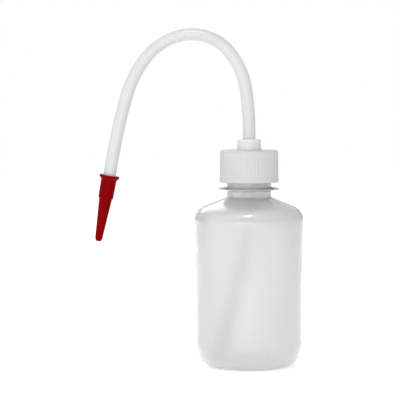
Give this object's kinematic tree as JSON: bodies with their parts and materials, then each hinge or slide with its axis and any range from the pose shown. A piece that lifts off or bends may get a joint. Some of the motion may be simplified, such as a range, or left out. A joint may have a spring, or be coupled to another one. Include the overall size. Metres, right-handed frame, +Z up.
{
  "type": "wash bottle",
  "caption": "Translucent squeeze wash bottle with a ribbed screw cap, a swan-neck delivery tube, a dip tube and a stepped red push-on nozzle.",
  "frame": {"origin": "centre of the flat ring that the bottle stands on, on the bottle's axis", "axes": "+Z up along the bottle's axis; the spout points towards -X"},
  "size_m": [0.1198, 0.0626, 0.1942],
  "materials": {
    "bottle_ldpe": "translucent natural low-density polyethylene, satin",
    "cap_pp": "white polypropylene, satin",
    "insert_ldpe": "white low-density polyethylene, satin",
    "washer_foam": "white foamed polyethylene",
    "tube_ldpe": "frosted low-density polyethylene tube, satin",
    "nozzle_red": "deep red polyethylene, semi-gloss"
  },
  "bodies": {
    "bottle": {"bottle": "bottle_ldpe"},
    "stem": {"stem_insert": "insert_ldpe", "sealing_washer": "washer_foam", "dip_tube": "tube_ldpe"},
    "cap": {"screw_cap": "cap_pp"},
    "spout": {"delivery_tube": "tube_ldpe"},
    "nozzle": {"nozzle": "nozzle_red"}
  },
  "joints": [
    {"name": "closure_lift", "type": "slide", "parent": "bottle", "child": "stem", "axis": [0, 0, 1], "range_m": [0, 0.0064]},
    {"name": "cap_spin", "type": "hinge", "parent": "stem", "child": "cap", "pos_m": [0, 0, 0.115], "axis": [0, 0, 1], "range_deg": [0, 540]},
    {"name": "spout_swivel", "type": "hinge", "parent": "stem", "child": "spout", "pos_m": [0, 0, 0.123], "axis": [0, 0, 1], "continuous": true},
    {"name": "nozzle_pull", "type": "slide", "parent": "spout", "child": "nozzle", "axis": [-0.1736, 0, -0.9848], "range_m": [0, 0.012]}
  ],
  "couplings": [
    {"joint": "closure_lift", "follows": "cap_spin", "m_per_rad": 0.0006737}
  ]
}
